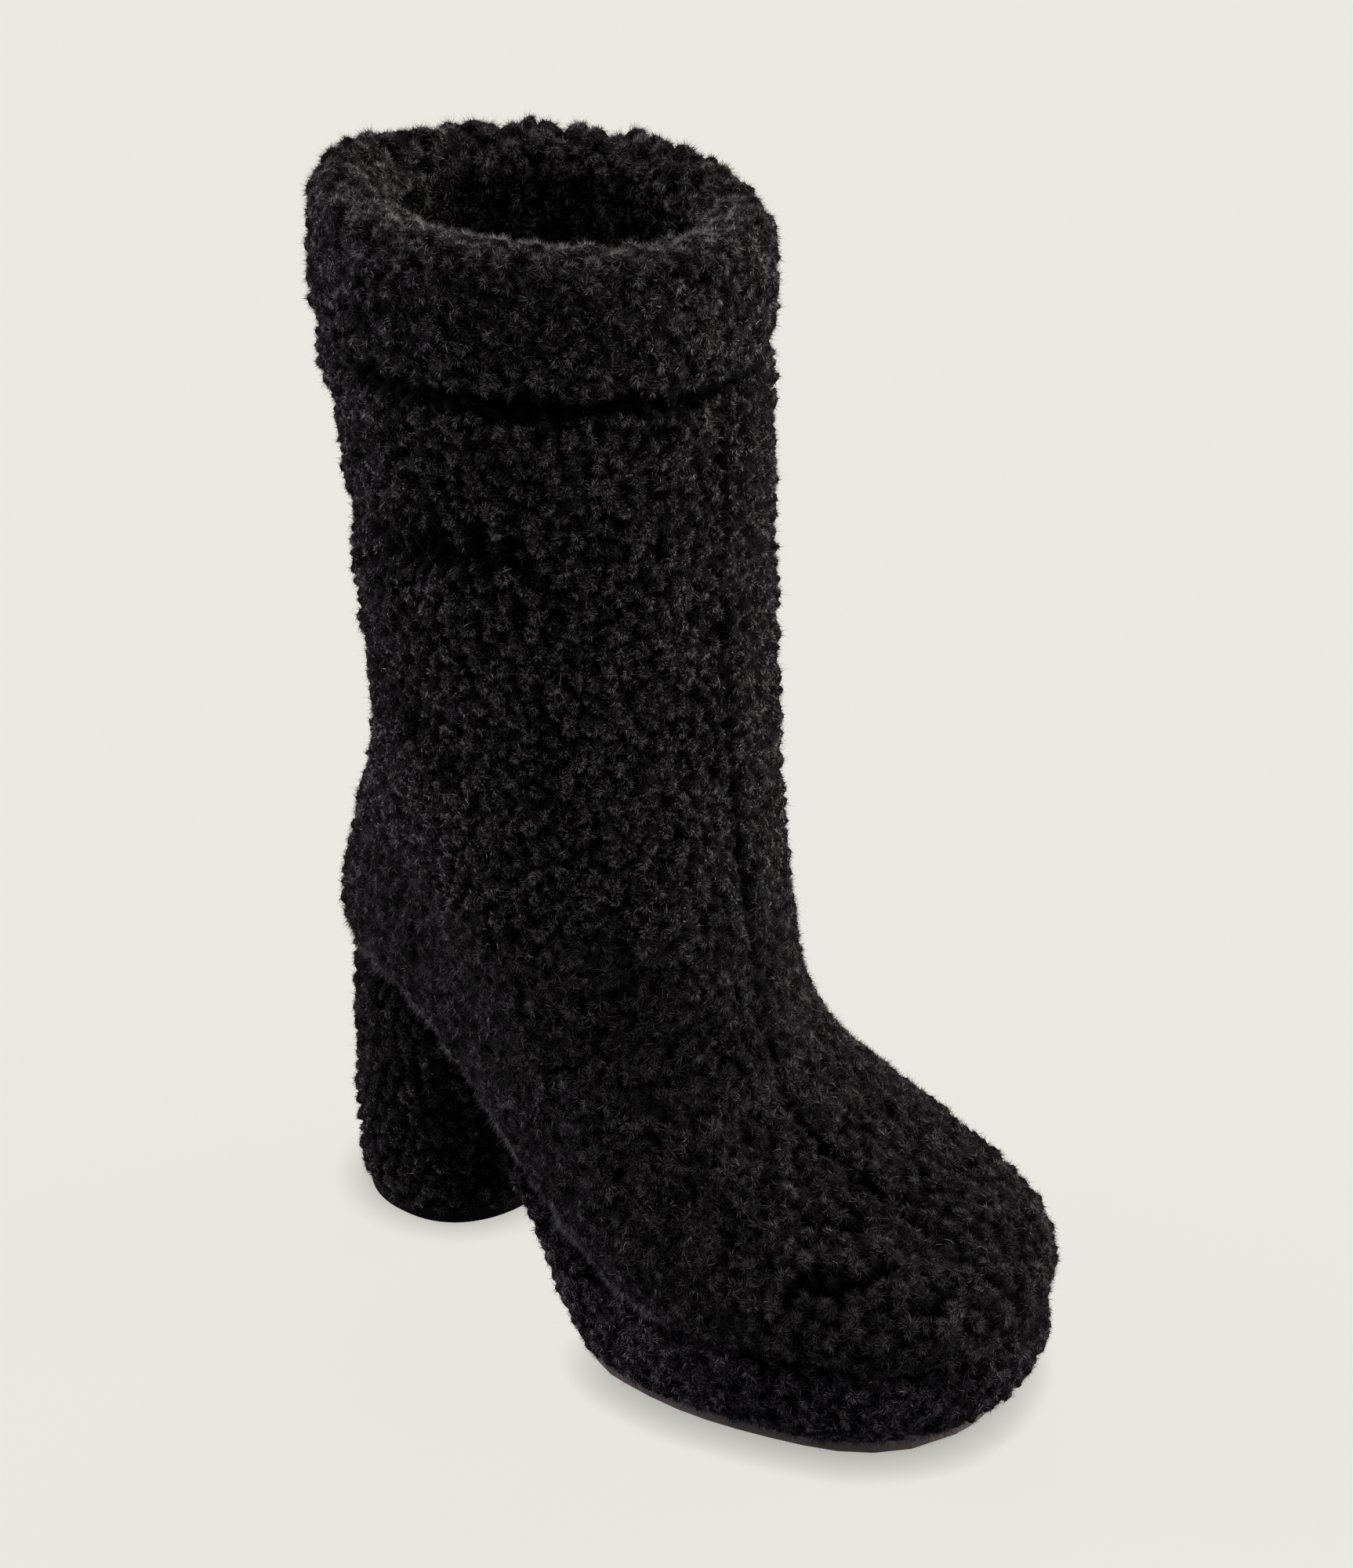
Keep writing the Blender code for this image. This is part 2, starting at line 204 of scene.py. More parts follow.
def addStudio(setup):
    bpy.ops.mesh.primitive_plane_add(size=setup["floorSize"])
    floor = bpy.context.active_object
    floor.name = "floor"
    paper = bpy.data.materials.new("paper")
    paper.use_nodes = True
    shader = paper.node_tree.nodes["Principled BSDF"]
    shader.inputs["Base Color"].default_value = (*setup["floorColour"], 1)
    shader.inputs["Roughness"].default_value = 1.0
    shader.inputs["Specular IOR Level"].default_value = 0.0
    shader.inputs["Emission Color"].default_value = (*setup["floorGlow"], 1)
    contact = paper.node_tree.nodes.new("ShaderNodeAmbientOcclusion")
    contact.inputs["Distance"].default_value = setup["contact"]
    glow = addRange(paper.node_tree, contact.outputs["AO"], 0.0, 1.0, setup["contactShade"])
    paper.node_tree.links.new(glow, shader.inputs["Emission Strength"])
    floor.data.materials.append(paper)
    # the floor is seen but sends no light back up, so the sky and the suns alone shape the fleece
    floor.visible_diffuse = False
    floor.visible_glossy = False
    world = bpy.data.worlds.new("studioSky")
    world.use_nodes = True
    sky = world.node_tree.nodes["Background"]
    sky.inputs["Color"].default_value = (*setup["skyColour"], 1)
    where = world.node_tree.nodes.new("ShaderNodeTexCoord")
    split = world.node_tree.nodes.new("ShaderNodeSeparateXYZ")
    world.node_tree.links.new(where.outputs["Generated"], split.inputs["Vector"])
    fade = addRange(world.node_tree, split.outputs["Z"], -0.6, 0.9, setup["skyLow"], setup["skyHigh"])
    world.node_tree.links.new(fade, sky.inputs["Strength"])
    bpy.context.scene.world = world
    for name, shines, strength, width, colour in setup["suns"]:
        bpy.ops.object.light_add(type="SUN", location=(0, 0, 2))
        sun = bpy.context.active_object
        sun.name = name
        sun.rotation_euler = Vector(shines).to_track_quat("-Z", "Y").to_euler()
        sun.data.energy = strength
        sun.data.angle = math.radians(width)
        sun.data.color = colour
    bpy.context.scene.view_settings.view_transform = "Standard"


addCamera(cameraLook)
addStudio(studio)
print("camera and studio made")


# Materials
def plainMaterial(name, colour, roughness, specular=0.5):
    made = bpy.data.materials.new(name)
    made.use_nodes = True
    made.diffuse_color = (*colour, 1)
    shader = made.node_tree.nodes["Principled BSDF"]
    shader.inputs["Base Color"].default_value = (*colour, 1)
    shader.inputs["Roughness"].default_value = roughness
    shader.inputs["Specular IOR Level"].default_value = specular
    return made


fleece = {
    "dark": (0.0005, 0.0005, 0.0005),
    "light": (0.030, 0.0270, 0.0275),
    "roughness": 0.9,
    "specular": 0.02,
    "fibre": 0.7 * mm,  # from one fibre to the next in the bump
    "strand": 1.1 * mm,  # from one lock to the next in the tint
}


def fleeceMaterial(name, look):
    # painted shade between the tufts and painted light on their tops, with fine strands in the tint and the
    # bump
    made = plainMaterial(name, look["light"], look["roughness"], look["specular"])
    tree = made.node_tree
    where = tree.nodes.new("ShaderNodeTexCoord").outputs["Object"]
    height = tree.nodes.new("ShaderNodeAttribute")
    height.attribute_name = "pileHeightAndShade"
    patches = addNoise(tree, where, 60, 3)
    lifted = addMaths(tree, "MULTIPLY_ADD", patches, 0.5, height.outputs["Fac"])
    strands = addNoise(tree, where, 1 / look["strand"], 2, 3.0)
    contrast = addRange(tree, strands, 0.38, 0.68)
    share = addMaths(tree, "MULTIPLY", addRange(tree, lifted, 0.45, 1.35), contrast)
    fibres = addNoise(tree, where, 1 / look["fibre"], 4, 1.5)
    tintAndBump(tree, look, share, fibres, 0.8, 0.6 * mm)
    return made


fleeceSkin = fleeceMaterial("blackFleece", fleece)
# The pile's tones are lit and shaded copies of one black fibre, from painted shade deep in the fleece to
# painted light at its tips, and the fifth is a stray brown
pileTones = [
    plainMaterial("pileShaded", (0.0020, 0.0018, 0.0019), 0.8, 0.0),
    plainMaterial("pileBlack", (0.014, 0.0128, 0.0132), 0.7, 0.02),
    plainMaterial("pileHalfLit", (0.046, 0.0422, 0.0427), 0.6, 0.05),
    plainMaterial("pileLit", (0.128, 0.1170, 0.1175), 0.5, 0.12),
    plainMaterial("pileBrown", (0.055, 0.036, 0.031), 0.6, 0.05),
]
# the foot's own lit and shaded copies, painted shade and painted light
footTones = [
    pileTones[0],
    plainMaterial("footBlack", (0.0145, 0.0132, 0.0136), 0.7, 0.02),
    plainMaterial("footHalfLit", (0.0345, 0.0315, 0.0322), 0.6, 0.05),
    plainMaterial("footLit", (0.080, 0.0732, 0.0742), 0.6, 0.08),
    pileTones[4],
]
# the platform's lit and shaded copies, tinted with a painted cool lavender light
soleTones = [
    pileTones[0],
    plainMaterial("soleBlack", (0.0150, 0.0133, 0.0158), 0.7, 0.02),
    plainMaterial("soleHalfLit", (0.045, 0.0403, 0.0480), 0.6, 0.05),
    plainMaterial("soleLit", (0.108, 0.0970, 0.1140), 0.6, 0.08),
    pileTones[4],
]
greyHair = plainMaterial("greyHair", (0.30, 0.28, 0.26), 0.4, 0.6)
# a painted highlight tone for the fibres on the fold's crest
crestHair = plainMaterial("crestHair", (0.31, 0.280, 0.280), 0.6, 0.1)
crestTones = [pileTones[2], pileTones[3], crestHair, crestHair, pileTones[4]]
# a painted lavender highlight for the fibres along the fleece's lower edges
edgeHighlight = plainMaterial("edgeHighlight", (0.165, 0.147, 0.179), 0.6, 0.05)
edgeTones = [pileTones[2], pileTones[3], edgeHighlight, edgeHighlight, pileTones[2]]
# the lining's lit tone, a painted light
liningLitHair = plainMaterial("liningPile", (0.155, 0.141, 0.139), 0.7, 0.02)
liningTones = [pileTones[0], pileTones[1], pileTones[2], liningLitHair, pileTones[4]]


# Shells of fleece, from copies of the solids
def copyNode(nodeName, pieceName):
    pick(nodes[nodeName])
    bpy.ops.object.duplicate()
    piece = bpy.context.active_object
    bpy.ops.object.parent_clear(type="CLEAR_KEEP_TRANSFORM")
    piece.name = pieceName
    piece.data.name = pieceName
    piece.data.materials.clear()
    for key in [key for key in piece.keys() if key.startswith("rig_")]:
        del piece[key]
    editFaces(piece)
    bpy.ops.mesh.customdata_custom_splitnormals_clear()
    bpy.ops.mesh.remove_doubles(threshold=0.01 * mm)
    turn = math.radians(60)
    bpy.ops.mesh.tris_convert_to_quads(face_threshold=turn, shape_threshold=turn)
    bpy.ops.object.mode_set(mode="OBJECT")
    return piece


def treeOf(mesh):
    return BVHTree.FromPolygons([v.co for v in mesh.vertices], [f.vertices for f in mesh.polygons])


solids = {name: treeOf(nodes[name].data) for name in solidNames}


def innerWall(piece):
    # a line straight out of the inner wall meets the hollow's other side or the insole
    own = treeOf(piece.data)
    flags = []
    mesh = piece.data
    for centre, normal in zip(rowsOf(mesh.polygons, "center"), rowsOf(mesh.polygons, "normal")):
        start = Vector(centre + normal * 0.2 * mm)
        far = own.ray_cast(start, Vector(normal))[3]
        meetsInsole = solids["insole"].ray_cast(start, Vector(normal))[3] is not None
        flags.append(meetsInsole or (far is not None and far > 8 * mm))
    return np.array(flags)


def covered(piece, others, reach):
    # the faces that lie against another solid
    flags = []
    mesh = piece.data
    for centre, normal in zip(rowsOf(mesh.polygons, "center"), rowsOf(mesh.polygons, "normal")):
        start = Vector(centre - normal * 0.5 * mm)
        hits = [solids[name].ray_cast(start, Vector(normal), reach + 0.5 * mm)[3] for name in others]
        flags.append(any(hit is not None for hit in hits))
    return np.array(flags)


def dropFaces(piece, chosen):
    editFaces(piece, chosen)
    bpy.ops.mesh.delete(type="FACE")
    bpy.ops.object.mode_set(mode="OBJECT")


def splitOff(piece, chosen, pieceName):
    # moves the chosen faces into a piece of their own
    pick(piece)
    bpy.ops.object.duplicate()
    other = bpy.context.active_object
    other.name = pieceName
    other.data.name = pieceName
    dropFaces(other, ~chosen)
    dropFaces(piece, chosen)
    return other


def settle(piece):
    # the same mesh with its points and faces in a fixed order, so that every run gives the same fleece
    mesh = piece.data
    points = rowsOf(mesh.vertices, "co")
    order = np.lexsort(points.T)
    place = np.empty(len(order), int)
    place[order] = np.arange(len(order))
    faces = []
    for face in mesh.polygons:
        ring = [int(place[k]) for k in face.vertices]
        first = ring.index(min(ring))
        faces.append(ring[first:] + ring[:first])
    mesh.clear_geometry()
    mesh.from_pydata(points[order].tolist(), [], sorted(faces))
    mesh.update(calc_edges=True)


def cutLong(piece, longest):
    # cuts the upright edges of tall faces, so that the fine form is even both ways
    pick(piece)
    mesh = piece.data
    points = rowsOf(mesh.vertices, "co")
    ends = rowsOf(mesh.edges, "vertices", 2).astype(int)
    span = points[ends[:, 1]] - points[ends[:, 0]]
    length = np.linalg.norm(span, axis=1)
    upright = (np.abs(span[:, 2]) > 0.5 * length) & (length > longest)
    cuts = int(np.ceil(np.median(length[upright]) / longest)) - 1 if upright.any() else 0
    if cuts < 1:
        return
    bpy.context.tool_settings.mesh_select_mode = (False, True, False)
    mesh.vertices.foreach_set("select", np.zeros(len(mesh.vertices), bool))
    mesh.polygons.foreach_set("select", np.zeros(len(mesh.polygons), bool))
    mesh.edges.foreach_set("select", upright)
    bpy.ops.object.mode_set(mode="EDIT")
    bpy.ops.mesh.subdivide(number_cuts=cuts)
    bpy.ops.object.mode_set(mode="OBJECT")


def refine(piece, levels):
    pick(piece)
    finer = piece.modifiers.new("finer", "SUBSURF")
    finer.levels = levels
    finer.render_levels = levels
    bpy.ops.object.modifier_apply(modifier="finer")


def thin(piece, share):
    # fewer faces where the form is plain, after the tufts are raised
    pick(piece)
    fewer = piece.modifiers.new("fewer", "DECIMATE")
    fewer.ratio = share
    bpy.ops.object.modifier_apply(modifier="fewer")


def turnEdgeIn(piece, low, high, shrink):
    # the open edge between those heights is drawn inwards into a lip, so nothing shows behind it
    pick(piece)
    mesh = piece.data
    points = rowsOf(mesh.vertices, "co")
    counts = np.zeros(len(mesh.edges), int)
    loopEdges = np.empty(len(mesh.loops), int)
    mesh.loops.foreach_get("edge_index", loopEdges)
    np.add.at(counts, loopEdges, 1)
    ends = rowsOf(mesh.edges, "vertices", 2).astype(int)
    middle = points[ends].mean(axis=1)
    chosen = (counts == 1) & (middle[:, 2] > low) & (middle[:, 2] < high)
    bpy.context.tool_settings.mesh_select_mode = (False, True, False)
    mesh.vertices.foreach_set("select", np.zeros(len(mesh.vertices), bool))
    mesh.polygons.foreach_set("select", np.zeros(len(mesh.polygons), bool))
    mesh.edges.foreach_set("select", chosen)
    centre = (middle[chosen].min(axis=0) + middle[chosen].max(axis=0)) / 2
    bpy.ops.object.mode_set(mode="EDIT")
    bpy.ops.mesh.extrude_edges_move()
    bpy.ops.transform.resize(value=(shrink, shrink, 1), center_override=tuple(centre))
    bpy.ops.object.mode_set(mode="OBJECT")
    settle(piece)


def drawDown(piece, below, drop, wider):
    # the lowest ring of points is drawn down and out, over what lies under it
    pick(piece)
    mesh = piece.data
    points = rowsOf(mesh.vertices, "co")
    chosen = points[:, 2] < below
    centre = (points[chosen].min(axis=0) + points[chosen].max(axis=0)) / 2
    bpy.context.tool_settings.mesh_select_mode = (True, False, False)
    mesh.polygons.foreach_set("select", np.zeros(len(mesh.polygons), bool))
    mesh.edges.foreach_set("select", np.zeros(len(mesh.edges), bool))
    mesh.vertices.foreach_set("select", chosen)
    bpy.ops.object.mode_set(mode="EDIT")
    bpy.ops.transform.translate(value=(0, 0, -drop))
    bpy.ops.transform.resize(value=(wider, wider, 1), center_override=tuple(centre))
    bpy.ops.object.mode_set(mode="OBJECT")


def edgeDistance(mesh, reach):
    # how far each vertex is from the shell's open edge, up to reach
    counts = np.zeros(len(mesh.edges), int)
    loopEdges = np.empty(len(mesh.loops), int)
    mesh.loops.foreach_get("edge_index", loopEdges)
    np.add.at(counts, loopEdges, 1)
    ends = np.empty(len(mesh.edges) * 2, int)
    mesh.edges.foreach_get("vertices", ends)
    rim = np.unique(ends.reshape(-1, 2)[counts == 1])
    points = rowsOf(mesh.vertices, "co")
    found = np.full(len(points), reach)
    if len(rim) == 0:
        return found
    tree = kdtree.KDTree(len(rim))
    for k, point in enumerate(points[rim]):
        tree.insert(point, k)
    tree.balance()
    for k, point in enumerate(points):
        found[k] = min(reach, tree.find(point)[2])
    return found


def sowTufts(points, spacing, rng):
    # tuft centres picked from the points, no two nearer than the spacing there
    tree = kdtree.KDTree(len(points))
    for k, point in enumerate(points):
        tree.insert(point, k)
    tree.balance()
    free = np.ones(len(points), bool)
    kept = []
    for k in rng.permutation(len(points)):
        if free[k]:
            kept.append(k)
            for _, j, _ in tree.find_range(points[k], spacing[k]):
                free[j] = False
    return np.array(kept)


keepTufts = {}
curls = {
    "depth": 4.2 * mm,  # from the tops of the tufts to the gaps
    "proud": 0.5 * mm,  # how far the tops stand out of the solid
    "lean": 0.9 * mm,  # how far a tuft leans to one side
    "stretch": 0.75,  # how much longer than wide the longest tufts are
    "gap": 0.68,  # how softly a tuft falls off into the gap
    "tall": (0.62, 1.06),  # the lowest and the highest tuft, as shares of the depth
    "level": 1.1,  # how far the long tufts lie in level rows
}


def curlUp(piece, look, spacingAt, softAt, seed, extra=None, pin=2.5 * mm, share=0.27):
    # raises tufts over the whole shell and notes each point's tuft, and its height with painted shade and
    # light, which sets the tone
    rng = np.random.default_rng(seed)
    mesh = piece.data
    rest = rowsOf(mesh.vertices, "co")
    out = unit(rowsOf(mesh.vertices, "normal"))
    spacing = spacingAt(rest)
    soft = softAt(rest)
    chosen = sowTufts(rest, spacing * 0.80, rng)
    centre = rest[chosen]
    count = len(chosen)
    axis = unit(np.cross(out[chosen], rng.normal(size=(count, 3)) + (0, 0, look["level"])))
    squeeze = 1 - 1 / (1 + look["stretch"] * rng.random(count)) ** 2
    tall = rng.uniform(*look["tall"], count)
    size = spacing[chosen] * rng.uniform(0.85, 1.15, count)
    tilt = unit(np.cross(out[chosen], unit(rng.normal(size=(count, 3)))))
    tilt = tilt * rng.uniform(0.1, 1.0, count)[:, None]
    tree = kdtree.KDTree(count)
    for k, point in enumerate(centre):
        tree.insert(point, k)
    tree.balance()
    warp = drift(rest, 5.5 * mm, seed) * 1.1 * mm + drift(rest, 2.2 * mm, seed + 9) * 0.5 * mm
    near = np.empty((len(rest), 6), int)
    for k, point in enumerate(rest + warp):
        near[k] = [found[1] for found in tree.find_n(point, 6)]
    away = (rest + warp)[:, None] - centre[near]
    along = (away * axis[near]).sum(-1)
    reach = np.sqrt(np.maximum((away ** 2).sum(-1) - squeeze[near] * along ** 2, 0)) / size[near]
    order = np.argsort(reach, axis=1)
    rows = np.arange(len(rest))
    first = near[rows, order[:, 0]]
    d1 = reach[rows, order[:, 0]]
    d2 = reach[rows, order[:, 1]]
    inside = np.clip((d2 - d1) / look["gap"], 0, 1)
    dome = np.sqrt(1 - (1 - inside) ** 2) * (1 - 0.55 * np.clip(d1 / 0.6, 0, 1) ** 2)
    fuzz = drift(rest, 1.7 * mm, seed + 3)
    lift = dome * tall[first] + 0.18 * fuzz[:, 0]
    depth = look["depth"] * soft
    hold = 0.999 * smoothStep(0, pin, edgeDistance(mesh, pin))
    rise = look["proud"] - depth * (1 - lift)
    glow = rng.uniform(0.78, 1.08, count)
    shown = dome * glow[first] + 0.12 * fuzz[:, 0]
    if extra is not None:
        # extra gives more rise, and painted shade that darkens the tone (below none, painted light that
        # lightens it)
        more, dim = extra(rest, out)
        rise = rise + more
        shown = shown * (1 - dim)
    side = tilt[first] * (look["lean"] * dome * soft)[:, None] + fuzz * 0.18 * mm
    side = side - out * (side * out).sum(-1)[:, None]
    moved = rest + (out * rise[:, None] + side) * hold[:, None]
    mesh.vertices.foreach_set("co", moved.ravel())
    mesh.update()
    # the stored value is the tuft's height with its painted shade and painted light
    mesh.attributes.new("pileHeightAndShade", "FLOAT", "POINT").data.foreach_set("value", np.clip(shown, 0, 1.2))
    print(piece.name, "tufts", count, "faces", len(mesh.polygons))
    thin(piece, share)
    keepTufts[piece.name] = {"centre": centre, "tree": tree}


def finishShell(piece, nodeName, material):
    piece.data.materials.append(material)
    pick(piece)
    bpy.ops.object.shade_smooth()
    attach(piece, "root")
    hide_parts(nodeName)


def bakeMap(piece):
    # the map is laid out on the coarse form, split down the front and back
    settle(piece)
    pick(piece)
    mesh = piece.data
    points = rowsOf(mesh.vertices, "co")
    for edge in mesh.edges:
        edge.use_seam = all(abs(points[v][0]) < 0.6 * mm for v in edge.vertices)
    while mesh.uv_layers:
        mesh.uv_layers.remove(mesh.uv_layers[0])
    mesh.uv_layers.new(name="OFBake")
    editFaces(piece)
    bpy.ops.uv.unwrap(method="ANGLE_BASED", margin=0.004)
    bpy.ops.object.mode_set(mode="OBJECT")


def everywhere(amount):
    return lambda points: np.full(len(points), amount)


# The upper: an outer shell in two halves with real seams front and back, and its lining
def lowSide(points):
    # the sides of the foot behind the ball, where the fleece is shorter and finer
    z = points[:, 2] / mm
    y = points[:, 1] / mm
    side = smoothStep(22, 42, np.abs(points[:, 0]) / mm)
    return side * smoothStep(140, 105, z) * smoothStep(-75, -35, y) * smoothStep(110, 70, y)


# Two lower edges of the fleece, as places along the boot and their heights, all in mm
archEdgeRun = {
    "y": (-12, -4, 4, 12, 20, 26, 47, 68, 86, 109),
    "z": (4, 12, 28, 42, 58, 69, 84, 95, 102, 105),
}
footEdgeRun = {
    "y": (-36, -20, -4, 4, 20, 28, 44, 60, 76, 92, 108),
    "z": (37, 41, 51, 57, 64, 71, 79, 91, 97, 103, 105),
}


def archLine(points):
    # how high the fleece's lower edge runs from the sole back to the heel
    low = np.interp(points[:, 1] / mm, archEdgeRun["y"], archEdgeRun["z"])
    return np.where(points[:, 1] < -12 * mm, 4, low) * mm


def archEdge(points):
    # one along that edge, where short fleece turns under; the fibres there are painted lighter, a painted
    # highlight
    above = (points[:, 2] - archLine(points)) / mm
    y = points[:, 1] / mm
    return np.exp(-(above / 5) ** 2) * smoothStep(-14, -6, y) * smoothStep(118, 95, y)


def footLine(points):
    # how high the upper's own lower edge runs over the platform and the heel
    return np.interp(points[:, 1] / mm, footEdgeRun["y"], footEdgeRun["z"]) * mm


def lowRoll(points):
    # one along that edge behind the ball, where the fleece rolls over and hides the join
    above = (points[:, 2] - footLine(points)) / mm
    y = points[:, 1] / mm
    uneven = np.clip(0.65 + 0.8 * drift(points, 7 * mm, 63)[:, 0], 0.1, 1)
    return np.exp(-((above - 1) / 4.5) ** 2) * smoothStep(-70, -35, y) * smoothStep(118, 95, y) * uneven


def upperSpacing(points):
    toe = smoothStep(-60, -95, points[:, 1] / mm) * smoothStep(110, 85, points[:, 2] / mm)
    return (5.5 - 1.0 * lowSide(points) + 1.3 * toe) * mm


def upperSoftness(points):
    underCuff = smoothStep(312, 330, points[:, 2] / mm)
    patches = 1 + 0.22 * drift(points, 45 * mm, 51)[:, 0]
    foot = smoothStep(170, 130, points[:, 2] / mm)
    soft = patches * (1.08 - 0.22 * foot) * (1 - 0.2 * backSide(points)) * (1 - 0.3 * lowSide(points))
    return soft * (1 - 0.7 * underCuff) * (1 - 0.55 * lowRoll(points))


upperExtra = {
    "seamDepth": 1.8 * mm,  # the seams down the front and the back
    "seamWidth": 1.9 * mm,
    "underCuff": 1.5 * mm,  # how far the skin draws in under the cuff
    "hem": 315.6,  # mm up, where the cuff ends
    "hemWave": 2.0,  # mm
    "hemGroove": 1.3 * mm,  # how deep the gap below the cuff is
    "hemBulge": 2.6 * mm,  # how far the fleece swells just below it
    # heights, and how far the outer back of the leg stands out or in there, both in mm
    "sway": (
        (100, 108, 118, 130, 150, 165, 185, 205, 240, 260, 272, 285, 302, 309),
        (0, 1.4, 1.1, 0, 0.9, 0.8, 0.3, 0.5, 1.3, 0.7, -0.8, -1.7, -1.3, 0),
    ),
    "folds": [
        # the fold's line in mm, its half width, its height in mm (a trough is below none), how dark (painted
        # shade in a trough, and below none painted light on a ridge)
        ([(-57, 82, 272), (-59, 76, 269), (-62, 68, 266), (-64, 56, 266), (-64, 46, 268), (-63, 37, 270)],
         6.5, -4.2, 0.55),
        ([(-63, 62, 283), (-65, 56, 280), (-65, 46, 281), (-64, 39, 281), (-63, 33, 278)], 4.5, 1.6, 0),
        ([(-63, 39, 277), (-63, 37, 267)], 2.4, -3.5, 0.65),
        ([(-62, 33, 280), (-61, 29, 268)], 2.2, 1.4, 0),
        ([(-60, 27, 279), (-60, 26, 267)], 3.2, -4.5, 0.8),
        ([(-56, 18, 276), (-56, 17, 266)], 3.0, -4.5, 0.8),
        ([(-54, 14, 267), (-50, 8, 264), (-45, 3, 261), (-38, -4, 259)], 3.4, -1.8, 0.2),
        ([(-50, 82, 232), (-54, 75, 229), (-60, 60, 226), (-61, 50, 223), (-61, 33, 212)], 5.0, 1.8, -0.3),
        ([(-52, 82, 218), (-58, 68, 214), (-61, 50, 209), (-60, 36, 200)], 6.0, -2.0, 0.25),
        ([(-44, -84, 63), (-41, -93, 62), (-32, -97, 63), (-24, -99, 64)], 2.4, -3.2, 0.85),
        ([(-27, -72, 72), (-21, -81, 69), (-15, -83, 69)], 2.1, -2.8, 0.8),
        ([(5, -84, 68), (8, -90, 67)], 2.0, -2.4, 0.6),
        ([(-3, -35, 126), (-8, -44, 104), (-14, -58, 88)], 2.2, -0.8, 0.25),
    ],
}


def lineDistance(points, line):
    # the distance from each point to a line of straight stretches, in mm
    nearest = np.full(len(points), 1e9)
    spots = points / mm
    corners = np.array(line, float)
    for start, end in zip(corners[:-1], corners[1:]):
        span = end - start
        share = np.clip(((spots - start) @ span) / (span @ span), 0, 1)
        nearest = np.minimum(nearest, np.linalg.norm(spots - start - share[:, None] * span, axis=1))
    return nearest


def turnOf(points):
    # the direction from the middle of the leg in degrees: 0 at the toe, 90 inner side, 270 outer side
    return np.degrees(np.arctan2(points[:, 0], legMiddle - points[:, 1])) % 360


def hemOpen(points):
    # how far the gap below the cuff stands open on each side of the leg
    turn = turnOf(points)
    outer = smoothStep(243, 262, turn)
    front = smoothStep(22, 6, turn) * (turn < 100)
    inner = 0.8 * smoothStep(45, 70, turn) * smoothStep(205, 180, turn)
    uneven = 0.75 + 0.45 * drift(points * (1, 1, 0.1), 16 * mm, 33)[:, 1]
    return np.clip(outer + front + inner, 0.0, 1) * uneven


def backSide(points):
    # one where the outer back of the leg is
    turn = turnOf(points)
    return smoothStep(185, 208, turn) * smoothStep(262, 235, turn)


def upperRelief(points, out):
    look = upperExtra
    z = points[:, 2] / mm
    seam = np.exp(-(points[:, 0] / look["seamWidth"]) ** 2) * smoothStep(330, 300, z)
    broken = 0.55 + 0.45 * drift(points, 14 * mm, 31)[:, 1]
    rise = -look["seamDepth"] * seam - look["underCuff"] * smoothStep(318, 326, z)
    dim = 0.55 * seam * broken
    hem = look["hem"] + look["hemWave"] * drift(points * (1, 1, 0.2), 20 * mm, 32)[:, 0]
    opened = np.clip(hemOpen(points), 0, 1)
    groove = np.exp(-((z - hem) / 1.5) ** 2) * opened
    back = backSide(points)
    below = (1 - back) * smoothStep(294, 309, z) + back * smoothStep(302, 312, z)
    rise = rise + look["hemBulge"] * below * smoothStep(325 - 8 * opened, 318 - 5 * opened, z)
    rise = rise - look["hemGroove"] * groove
    rise = rise + np.interp(z, *look["sway"]) * mm * back
    # painted shade in the gap below the cuff, and on the fleece above it where the gap stands open
    dim = np.maximum(dim, 0.95 * groove)
    dim = np.maximum(dim, opened * smoothStep(0, 2, z - hem))
    roll = lowRoll(points)
    rise = rise + 1.3 * mm * roll
    # each fold adds painted shade in its trough, or painted light on its ridge
    for line, width, height, dark in look["folds"]:
        share = np.exp(-(lineDistance(points, line) / width) ** 2)
        rise = rise + height * mm * share
        dim = np.maximum(dim, dark * share) if dark >= 0 else dim + dark * share
    # the roll is painted lighter too, a painted highlight along the foot's lower edge
    return rise, np.clip(dim - 0.35 * roll, -0.4, 1)


upperShell = copyNode("upper", "upperLateral")
insideFaces = innerWall(upperShell)
lining = splitOff(upperShell, insideFaces, "lining")
bakeMap(upperShell)
refine(upperShell, 3)
curlUp(upperShell, curls, upperSpacing, upperSoftness, 11, upperRelief)
medialFaces = rowsOf(upperShell.data.polygons, "center")[:, 0] > 0
upperMedial = splitOff(upperShell, medialFaces, "upperMedial")
for half in (upperShell, upperMedial):
    finishShell(half, "upper", fleeceSkin)
cutLong(lining, 8 * mm)
bakeMap(lining)
refine(lining, 2)
curlUp(lining, curls, everywhere(6 * mm), everywhere(0.8), 12)
finishShell(lining, "upper", fleeceSkin)
print("upper made")

# The cuff: the fleece turned over at the top
cuff = copyNode("cuff", "cuffFleece")
dropFaces(cuff, covered(cuff, ["upper"], 1.2 * mm))
bakeMap(cuff)
refine(cuff, 3)
cuffLook = {
    "lump": 2.3 * mm,  # how far the fleece bulges and sinks
    "lumpSize": 12 * mm,
    "broad": 2.6 * mm,  # how far the far rim rises and falls
    "broadSize": 22 * mm,
    "taper": 2.6 * mm,  # how far the lower edge draws in
    "hemWave": 2.4 * mm,  # how unevenly it does
}


